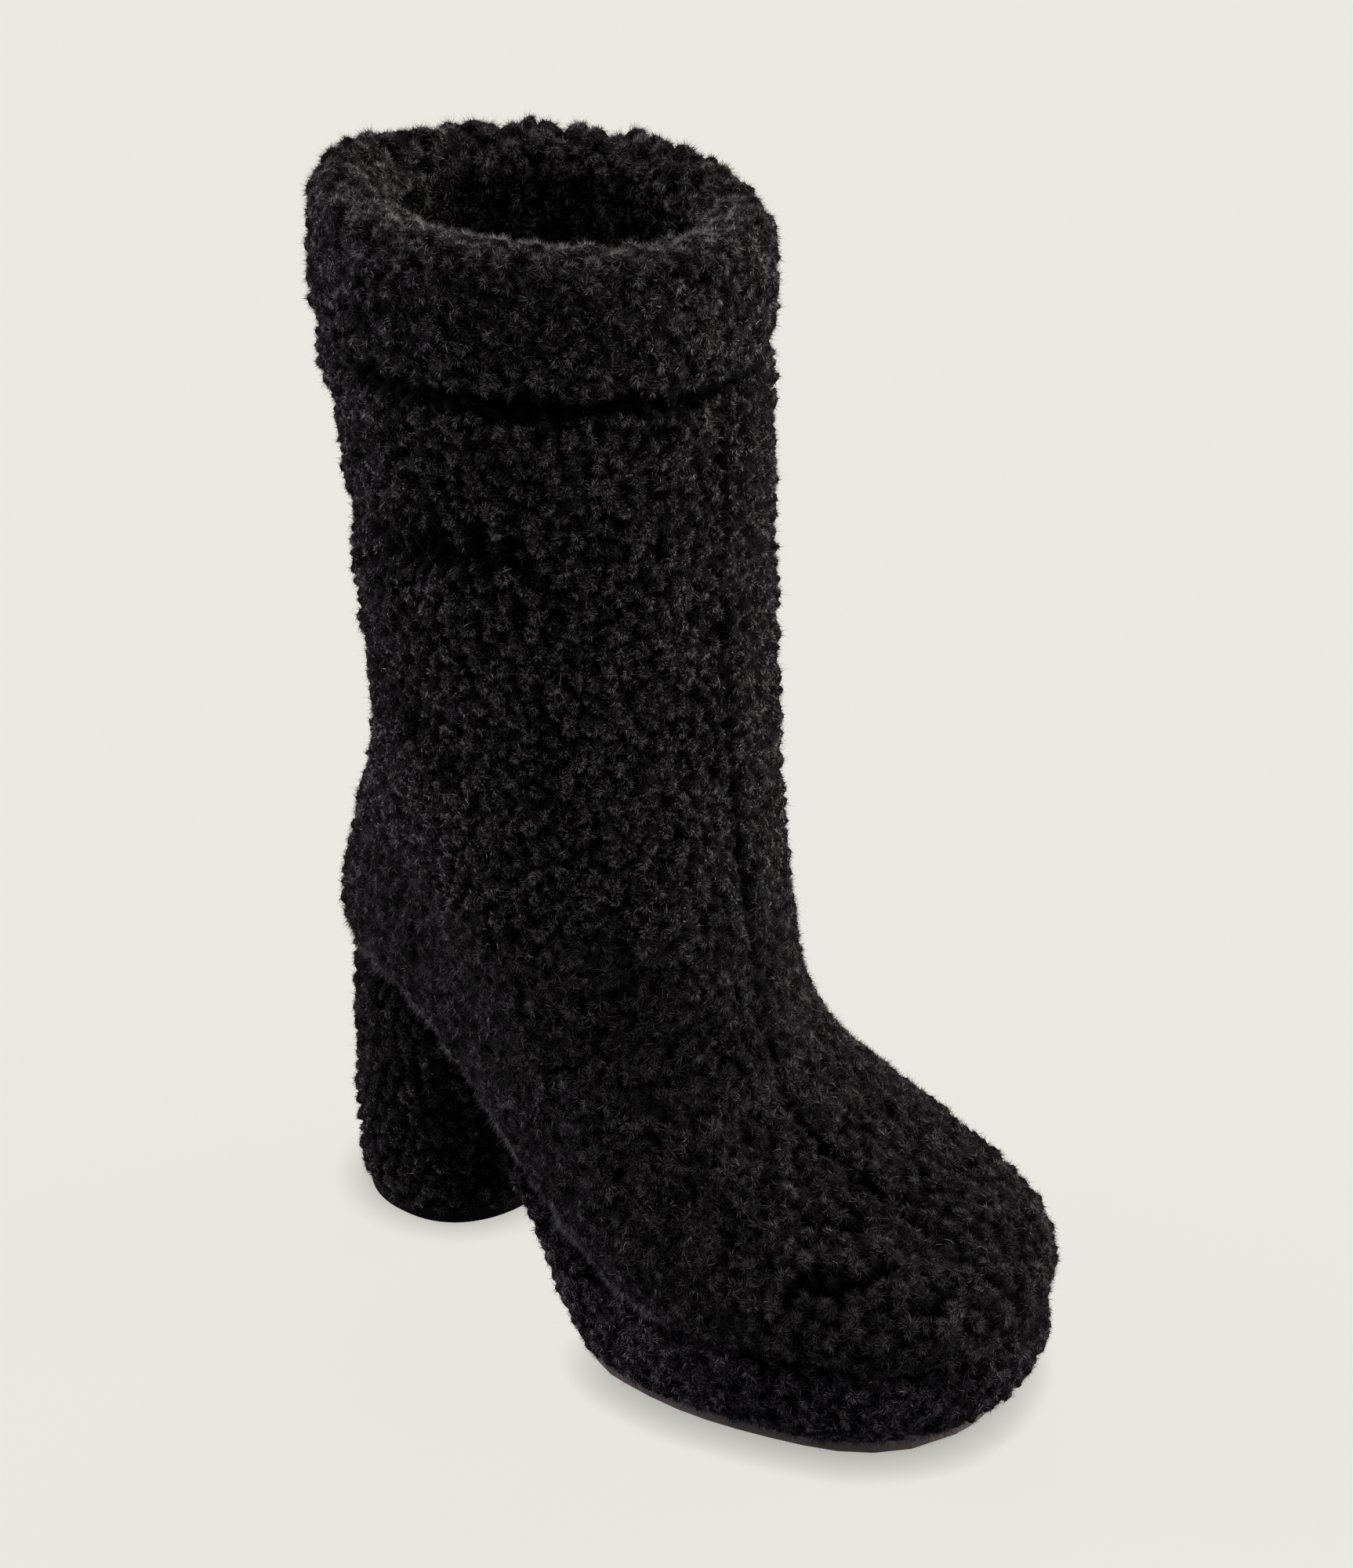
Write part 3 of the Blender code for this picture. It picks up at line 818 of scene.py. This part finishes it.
def cuffRelief(points, out):
    z = points[:, 2] / mm
    lumps = drift(points, cuffLook["lumpSize"], 41)
    crest = smoothStep(340, 358, z)
    ring = legRing(points)
    far = smoothStep(0.05, 0.6, ring @ -nearSide)
    rise = cuffLook["lump"] * lumps[:, 0] * (0.3 + (0.15 + 0.8 * far) * crest)
    rise = rise + (2.6 * far - 0.6) * mm * crest
    broad = drift(points, cuffLook["broadSize"], 43)[:, 0]
    rise = rise + cuffLook["broad"] * broad * far * smoothStep(348, 360, z)
    outside = smoothStep(0.3, 0.8, np.hypot(out[:, 0], out[:, 1]))
    wave = cuffLook["hemWave"] * drift(points * (1, 1, 0.1), 18 * mm, 42)[:, 0]
    back = backSide(points)
    rise = rise - (cuffLook["taper"] - 0.5 * wave) * (1 - 0.5 * back) * smoothStep(331, 316, z) * outside
    rise = rise + 0.5 * mm * back * outside
    inward = -(ring * out).sum(axis=1)
    rise = rise + 1.0 * mm * smoothStep(0.1, 0.6, inward) * smoothStep(350, 358, z) * (1 - far)
    # painted shade on the fleece facing down just above the cuff's lower edge
    under = smoothStep(-0.5, -0.9, out[:, 2]) * smoothStep(322, 317, z)
    return rise, under


def cuffSpacing(points):
    # the turned fleece is fine over the front and in larger lumps along the crest
    turn = turnOf(points)
    z = points[:, 2] / mm
    front = smoothStep(240, 262, turn) * smoothStep(358, 335, turn)
    band = front * smoothStep(326, 334, z) * smoothStep(357, 349, z)
    return (6.2 - 1.6 * band + 1.4 * smoothStep(352, 360, z)) * mm


def cuffSoftness(points):
    return 0.48 + 0.40 * smoothStep(4.8 * mm, 6.0 * mm, cuffSpacing(points))


curlUp(cuff, curls, cuffSpacing, cuffSoftness, 13, cuffRelief)
finishShell(cuff, "cuff", fleeceSkin)
print("cuff made")

# The platform and the heel, wrapped in the same fleece
platformLook = {
    "tuft": 5.4 * mm,  # from one tuft to the next
    "soft": 0.75,  # the tufts' depth, as a share of the common one
    "topLip": 0.84,  # how far the upper edge is drawn in
    "lowLip": 0.90,
}
platformCover = copyNode("platform", "platformCover")
dropFaces(platformCover, np.abs(rowsOf(platformCover.data.polygons, "normal")[:, 2]) > 0.94)
cutLong(platformCover, 8 * mm)
turnEdgeIn(platformCover, 20 * mm, 80 * mm, platformLook["topLip"])
turnEdgeIn(platformCover, 0, 20 * mm, platformLook["lowLip"])
bakeMap(platformCover)
refine(platformCover, 3)


def platformSoftness(points):
    combed = smoothStep(-50, -20, points[:, 1] / mm)
    return platformLook["soft"] - 0.25 * combed - 0.25 * archEdge(points)


def platformRelief(points, out):
    # a slight rise along the arch edge, with painted light there
    return 0.5 * mm * archEdge(points), -0.3 * archEdge(points)


curlUp(platformCover, curls, everywhere(platformLook["tuft"]), platformSoftness, 14, platformRelief)
finishShell(platformCover, "platform", fleeceSkin)

heelLook = {
    "tuft": 6.0 * mm,
    "soft": 0.95,
    "overToplift": 3.9 * mm,  # how far the cover comes down over the heel tip
    "wider": 1.02,
    "lip": 0.84,
    "kept": 0.16,  # the share of faces left after thinning
}
heelCover = copyNode("heel", "heelCover")
dropFaces(heelCover, np.abs(rowsOf(heelCover.data.polygons, "normal")[:, 2]) > 0.94)
cutLong(heelCover, 8 * mm)
drawDown(heelCover, 6.0 * mm, heelLook["overToplift"], heelLook["wider"])
turnEdgeIn(heelCover, 50 * mm, 120 * mm, heelLook["lip"])
turnEdgeIn(heelCover, 0, 50 * mm, heelLook["lip"])
bakeMap(heelCover)
refine(heelCover, 3)


def heelRelief(points, out):
    # the heel's pile is painted darker, a painted shade, most of all under the arch
    shadeUnderArch = smoothStep(40, 0, points[:, 1] / mm - 50)
    return np.zeros(len(points)), 0.12 + 0.3 * shadeUnderArch


heelSpacing = everywhere(heelLook["tuft"])
curlUp(heelCover, curls, heelSpacing, everywhere(heelLook["soft"]), 15, heelRelief, share=heelLook["kept"])
finishShell(heelCover, "heel", fleeceSkin)
print("platform and heel made")


# The pile: fine fibres that stand on the tufts
def ribbonMesh(name, spines, sides, kinds, tones):
    # each row of spines is one fibre's points from root to tip, and sides holds half its width
    count, knots = spines.shape[:2]
    wide = spines[:, :-1]
    rows = np.empty((count, 2 * knots - 1, 3), np.float32)
    rows[:, 0:-1:2] = wide - sides
    rows[:, 1:-1:2] = wide + sides
    rows[:, -1] = spines[:, -1]
    loops = []
    for k in range(knots - 2):
        loops += [2 * k, 2 * k + 1, 2 * k + 3, 2 * k + 2]
    loops += [2 * knots - 4, 2 * knots - 3, 2 * knots - 2]
    faces = knots - 1  # the last one is the pointed tip
    starts = [4 * k for k in range(faces)]
    step = np.arange(count)[:, None]
    mesh = bpy.data.meshes.new(name)
    mesh.vertices.add(count * (2 * knots - 1))
    mesh.loops.add(count * len(loops))
    mesh.polygons.add(count * faces)
    mesh.vertices.foreach_set("co", rows.ravel())
    corners = np.array(loops) + step * (2 * knots - 1)
    mesh.loops.foreach_set("vertex_index", corners.ravel().astype(np.int32))
    firsts = np.array(starts) + step * len(loops)
    mesh.polygons.foreach_set("loop_start", firsts.ravel().astype(np.int32))
    for tone in tones:
        mesh.materials.append(tone)
    mesh.polygons.foreach_set("material_index", np.repeat(kinds, faces).astype(np.int32))
    mesh.update(calc_edges=True)
    mesh.validate()
    piece = bpy.data.objects.new(name, mesh)
    bpy.context.scene.collection.objects.link(piece)
    return piece


def scatter(piece, density, rng, keepAt=None):
    # random places on a shell, about density a square millimetre where the tufts stand high,
    # with the normal and the tuft's height at each
    mesh = piece.data
    mesh.calc_loop_triangles()
    corners = rowsOf(mesh.loop_triangles, "vertices").astype(int)
    points = rowsOf(mesh.vertices, "co")
    out = rowsOf(mesh.vertices, "normal")
    a, b, c = (points[corners[:, k]] for k in range(3))
    area = np.linalg.norm(np.cross(b - a, c - a), axis=1) / 2
    height = np.empty(len(points))
    mesh.attributes["pileHeightAndShade"].data.foreach_get("value", height)
    area = area * (0.06 + smoothStep(0.28, 0.80, height[corners].mean(axis=1)))
    if keepAt is not None:
        area = area * keepAt((a + b + c) / 3, unit(np.cross(b - a, c - a)))
    total = int(area.sum() / mm ** 2 * density)
    pickTri = rng.choice(len(area), total, p=area / area.sum())
    u = rng.random(total)
    v = rng.random(total)
    flip = u + v > 1
    u[flip] = 1 - u[flip]
    v[flip] = 1 - v[flip]
    u = u[:, None]
    v = v[:, None]
    ids = corners[pickTri]
    spot = points[ids[:, 0]] * (1 - u - v) + points[ids[:, 1]] * u + points[ids[:, 2]] * v
    normal = unit(out[ids[:, 0]] * (1 - u - v) + out[ids[:, 1]] * u + out[ids[:, 2]] * v)
    return spot, normal, height[ids[:, 0]]


pile = {
    "perSquareMm": 4.4,
    "length": (0.9, 2.0),  # mm
    "width": 0.138,  # mm from the middle to the edge
    "root": 0.2,  # mm below the skin
    "swirl": 0.8,  # how far the fibres turn round their tuft
    "spread": 0.45,  # and lean out from its middle
    "stand": 0.5,  # and stand up
    "stray": 0.45,  # and go their own way
    "fray": 0.5,  # how far the hanging fibres part
    "toss": 0.28,  # how unevenly they lie to the light
    "mix": 0.08,  # how far a fibre's tone strays from its height's
    "tones": (0.34, 0.57, 0.84),  # heights where the fibres turn lighter
}


def growPile(name, shell, tuftName, look, seed, keepAt=None, scale=1.0, lighter=None, hang=None, tones=None):
    # keepAt says where fibres grow, lighter where they turn lighter, and hang how high an edge
    # runs, near which they hang down
    rng = np.random.default_rng(seed)
    spot, normal, height = scatter(shell, look["perSquareMm"], rng, keepAt)
    count = len(spot)
    tufts = keepTufts[tuftName]
    near = np.array([tufts["tree"].find(point)[1] for point in spot])
    spread = spot - tufts["centre"][near]
    spread = unit(spread - normal * (spread * normal).sum(-1)[:, None])
    hand = np.where(near % 2 == 0, 1.0, -1.0)[:, None]
    swirl = np.cross(normal, spread) * hand
    stray = rng.normal(size=(count, 3))
    way = normal * look["stand"] + swirl * look["swirl"] + spread * look["spread"]
    way = unit(way + stray * look["stray"])
    length = rng.uniform(*look["length"], count)[:, None] * mm * scale
    if hang is not None:
        edge = hang(spot) if callable(hang) else hang
        # some tufts hang more than others, so that the edge stays ragged
        luck = smoothStep(0.0, 0.75, rng.random(len(tufts["centre"])))[near]
        low = (smoothStep(4.5 * mm, 0, spot[:, 2] - edge) * luck)[:, None]
        way = unit(way + low * ((0, 0, -1.8) + rng.normal(size=(count, 3)) * look["fray"]))
        length = length * (1 + 0.9 * low)
    root = spot - normal * look["root"] * mm
    # each fibre lies flat to the tuft, give or take, so that a tuft is lit as one soft form
    faced = unit(normal + rng.normal(size=(count, 3)) * look["toss"])
    side = unit(np.cross(way, faced)) * look["width"] * mm
    spines = np.stack([root, root + way * length], 1)
    spines[:, :, 2] = np.maximum(spines[:, :, 2], 0.3 * mm)
    sides = side[:, None]
    # each fibre's tone follows its tuft's height, painted shade in the gaps and painted light on the tops,
    # and lighter adds more painted light
    shade = height + rng.normal(size=count) * look["mix"]
    if lighter is not None:
        shade = shade + lighter(spot, normal)
    kinds = np.digitize(shade, look["tones"])
    kinds[(kinds > 1) & (rng.random(count) < 0.08)] = 4
    piece = ribbonMesh(name, spines, sides, kinds, tones or pileTones)
    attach(piece, "root")
    print(name, "fibres", count)
    return piece


def legOnly(points, facing):
    return ((points[:, 2] > 150 * mm) & (points[:, 2] < 322 * mm)).astype(float)


def footOnly(points, facing):
    return (points[:, 2] <= 150 * mm).astype(float)


def footLight(points, normals):
    # painted light along the roll over the join
    return 0.5 * lowRoll(points)


def rollHang(points):
    # only the roll behind the ball hangs over the join
    return footLine(points) - 30 * mm * smoothStep(-32, -52, points[:, 1] / mm)


def soleLight(points, normals):
    # the platform's sides behind the ball are combed smooth, and they and the arch edge are painted lighter,
    # a painted light
    return 0.4 * archEdge(points) + 0.26 * smoothStep(-75, -25, points[:, 1] / mm)


def edgeOnly(line, first):
    # keeps to the lowest few mm above that line, behind the first y in mm
    def keepAt(points, facing):
        above = (points[:, 2] - line(points)) / mm
        y = points[:, 1] / mm
        broken = np.clip(0.5 + 1.5 * drift(points, 4 * mm, 62)[:, 0], 0.03, 1)
        low = smoothStep(first, first + 20, y) * smoothStep(8, 2, above) * (above > -9)
        return low * smoothStep(112, 90, y) * broken
    return keepAt


def crestLight(points, normals):
    # the fold's inner edge is drawn thin with fine fibres, and they are painted lighter there, a painted
    # highlight, most of all on the near side
    ring = legRing(points)
    inward = -(ring * normals).sum(axis=1)
    front = smoothStep(-0.2, 0.6, ring @ nearSide)
    top = smoothStep(345, 355, points[:, 2] / mm)
    return 0.05 + (0.62 * front + 0.05) * smoothStep(0.15, 0.6, inward) * top


def liningLight(points, normals):
    # the lining's fibres are painted lighter towards the opening, a painted light
    return 0.05 + 0.3 * smoothStep(280 * mm, 350 * mm, points[:, 2])


def evenLight(amount):
    return lambda points, normals: amount


def liningTop(points, facing):
    # the lining's pile grows as far down as the eye reaches
    return (points[:, 2] > 240 * mm).astype(float)


def sideOnly(points, facing):
    fuller = 1 + 1.0 * smoothStep(7 * mm, 3 * mm, points[:, 2])
    return (np.abs(facing[:, 2]) < 0.85) * fuller


footPile = {
    **pile,
    "length": (1.4, 3.1),
    "width": 0.105,
    "toss": 0.36,
    "mix": 0.10,
    "stray": 0.36,
    "spread": 0.6,
}
lateralLegPile = {**pile, "perSquareMm": 4.8, "width": 0.126}
lateralFootPile = {**footPile, "perSquareMm": 4.8}
cuffPile = {**pile, "perSquareMm": 4.8, "width": 0.12, "length": (1.1, 2.5), "stray": 0.38}
liningPile = {**pile, "perSquareMm": 2.9, "width": 0.16}
solePile = {**footPile, "perSquareMm": 4.2}
growPile("pileLateralLeg", upperShell, "upperLateral", lateralLegPile, 21, legOnly, lighter=evenLight(0.08))
growPile("pileLateralFoot", upperShell, "upperLateral", lateralFootPile, 31, footOnly,
         lighter=footLight, hang=rollHang, tones=footTones)
growPile("pileMedialLeg", upperMedial, "upperLateral", pile, 22, legOnly, lighter=evenLight(0.06))
growPile("pileMedialFoot", upperMedial, "upperLateral", footPile, 32, footOnly,
         lighter=footLight, hang=rollHang, tones=footTones)
growPile("pileCuff", cuff, "cuffFleece", cuffPile, 23, lighter=crestLight, hang=313.5 * mm)
growPile("pileLining", lining, "lining", liningPile, 24, liningTop, 1.3, liningLight, tones=liningTones)
growPile("pilePlatform", platformCover, "platformCover", solePile, 25, sideOnly, 0.9,
         soleLight, archLine, soleTones)
growPile("pileHeel", heelCover, "heelCover", pile, 26, sideOnly, hang=1.5 * mm)


# Finer, longer fibres blur the outline, and a fringe of them hides the sole's edge
def wispsAt(points, facing):
    return 1 + 2.5 * smoothStep(348, 358, points[:, 2] / mm)


wisps = {
    **pile,
    "perSquareMm": 0.55,
    "mix": 0.16,
    "length": (1.8, 3.8),
    "width": 0.065,
    "stand": 1.1,
    "toss": 1.0,
    "stray": 0.7,
    "tones": (0.2, 0.5, 1.0),
}
growPile("upperLateralWisps", upperShell, "upperLateral", wisps, 40, wispsAt)
growPile("upperMedialWisps", upperMedial, "upperLateral", wisps, 41, wispsAt)
growPile("cuffFleeceWisps", cuff, "cuffFleece", wisps, 42, wispsAt)
growPile("heelCoverWisps", heelCover, "heelCover", wisps, 43, wispsAt)


def lowEdge(points, facing):
    return ((points[:, 2] < 12 * mm) & (np.abs(facing[:, 2]) < 0.9)).astype(float)


fringe = {**pile, "perSquareMm": 4.0, "length": (1.2, 2.2), "width": 0.10, "stray": 0.7, "mix": 0.16}
heelFringe = {**fringe, "perSquareMm": 5.0, "length": (0.8, 1.6)}
edgePile = {
    **fringe,
    "perSquareMm": 5.0,
    "stray": 1.1,
    "fray": 1.0,
    "toss": 0.9,
    "length": (1.0, 2.4),
    "width": 0.08,
}
growPile(
    "heelFringe", heelCover, "heelCover", heelFringe, 50, lowEdge,
    lighter=evenLight(-0.1), hang=1.5 * mm,
)
growPile("platformFringe", platformCover, "platformCover", fringe, 51, lowEdge, hang=7 * mm)
growPile("upperLateralEdge", upperShell, "upperLateral", edgePile, 54, edgeOnly(footLine, -55),
         hang=footLine, tones=edgeTones)
growPile("upperMedialEdge", upperMedial, "upperLateral", edgePile, 55, edgeOnly(footLine, -55),
         hang=footLine, tones=edgeTones)
growPile("platformCoverEdge", platformCover, "platformCover", edgePile, 56, edgeOnly(archLine, -30),
         hang=archLine, tones=edgeTones)


def hemOnly(points, facing):
    # the cuff's lower rim on the inner side and the back, in patches
    turn = turnOf(points)
    side = smoothStep(28, 48, turn) * smoothStep(240, 222, turn)
    patchy = np.clip(0.45 + 1.1 * drift(points * (1, 1, 0.1), 7 * mm, 63)[:, 0], 0.05, 1)
    return side * patchy * smoothStep(321, 317, points[:, 2] / mm) * (facing[:, 2] < 0.3)


cuffEdge = {
    **pile,
    "perSquareMm": 4.5,
    "length": (1.3, 3.2),
    "width": 0.10,
    "stray": 0.9,
    "fray": 0.9,
    "toss": 0.7,
}
growPile("cuffFleeceEdge", cuff, "cuffFleece", cuffEdge, 57, hemOnly, hang=315.5 * mm)
crestPile = {
    **pile,
    "perSquareMm": 7.0,
    "length": (1.2, 2.8),
    "width": 0.06,
    "stand": 1.3,
    "toss": 0.8,
    "stray": 0.7,
    "mix": 0.16,
}


def nearCrest(points, facing):
    # the part of the fold that the camera looks over, in patches
    ring = legRing(points)
    near = smoothStep(0.0, 0.5, ring @ nearSide)
    inward = -(ring * facing).sum(axis=1)
    patchy = np.clip(0.7 + 0.8 * drift(points, 9 * mm, 61)[:, 0], 0.1, 1)
    return near * patchy * smoothStep(-0.25, 0.5, inward) * smoothStep(350, 356, points[:, 2] / mm)


growPile("crestHairs", cuff, "cuffFleece", crestPile, 52, nearCrest, tones=crestTones)
print("pile and edges grown")

# A few long pale hairs lie over the fleece
paleHairs = {
    "count": 1000,
    "length": (1.6, 4.6),  # mm
    "width": 0.045,  # mm from the middle to the edge
}


def growPaleHairs(name, shells, look, seed):
    rng = np.random.default_rng(seed)
    spots = []
    facing = []
    for shell, share in shells:
        spot, normal, _ = scatter(shell, 1.0, rng)
        chosen = rng.choice(len(spot), int(look["count"] * share), replace=False)
        spots.append(spot[chosen])
        facing.append(normal[chosen])
    root = np.concatenate(spots)
    normal = np.concatenate(facing)
    count = len(root)
    way = unit(rng.normal(size=(count, 3)) + normal * 0.5)
    turn = unit(np.cross(way, rng.normal(size=(count, 3))))
    step = rng.uniform(*look["length"], count)[:, None] * mm / 4
    knots = [root]
    for k in range(4):
        way = unit(way + turn * 0.45 - normal * 0.12 * k)
        knots.append(knots[-1] + way * step)
    side = unit(np.cross(way, normal)) * look["width"] * mm
    sides = np.stack([side, side, side * 0.9, side * 0.7], 1)
    spines = np.stack(knots, 1)
    spines[:, :, 2] = np.maximum(spines[:, :, 2], 0.3 * mm)
    piece = ribbonMesh(name, spines, sides, np.zeros(count, int), [greyHair])
    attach(piece, "root")


hairShares = [(upperShell, 0.34), (upperMedial, 0.34), (cuff, 0.2), (platformCover, 0.06), (heelCover, 0.06)]
growPaleHairs("paleHairs", hairShares, paleHairs, 27)


# The solids that stay in view: outsole, toplift and insole
def wornMaterial(name, look):
    # two tones in soft patches, fine grain in the bump, and roughness that follows the patches
    made = plainMaterial(name, look["light"], look["rough"][0], look["specular"])
    tree = made.node_tree
    where = tree.nodes.new("ShaderNodeTexCoord").outputs["Object"]
    patches = addNoise(tree, where, look["patchScale"], 6)
    rough = addRange(tree, patches, 0.0, 1.0, *look["rough"])
    tree.links.new(rough, tree.nodes["Principled BSDF"].inputs["Roughness"])
    grain = tree.nodes.new("ShaderNodeTexVoronoi")
    grain.inputs["Scale"].default_value = look["grainScale"]
    tree.links.new(where, grain.inputs["Vector"])
    share = addRange(tree, patches, 0.35, 0.65)
    tintAndBump(tree, look, share, grain.outputs["Distance"], look["grainStrength"], 0.4 * mm)
    return made


outsoleLook = {
    "light": (0.076, 0.057, 0.047),
    "dark": (0.044, 0.032, 0.026),
    "rough": (0.55, 0.75),
    "specular": 0.35,
    "patchScale": 55,  # patches and grains across a metre
    "grainScale": 1400,
    "grainStrength": 0.25,
}
topliftLook = {
    "light": (0.005, 0.005, 0.005),
    "dark": (0.002, 0.002, 0.002),
    "rough": (0.75, 0.95),
    "specular": 0.02,
    "patchScale": 90,
    "grainScale": 900,
    "grainStrength": 0.4,
}
insoleLook = {
    "light": (0.012, 0.0105, 0.011),
    "dark": (0.002, 0.002, 0.002),
    "rough": (0.9, 1.0),
    "specular": 0.03,
    "patchScale": 160,
    "grainScale": 420,
    "grainStrength": 0.9,
}


def repaint(nodeName, material):
    for k in range(len(nodes[nodeName].material_slots)):
        nodes[nodeName].material_slots[k].material = material


repaint("outsole", wornMaterial("tanLeather", outsoleLook))
repaint("toplift", wornMaterial("blackRubber", topliftLook))
repaint("insole", wornMaterial("blackSock", insoleLook))
print("sole, toplift and insole painted")
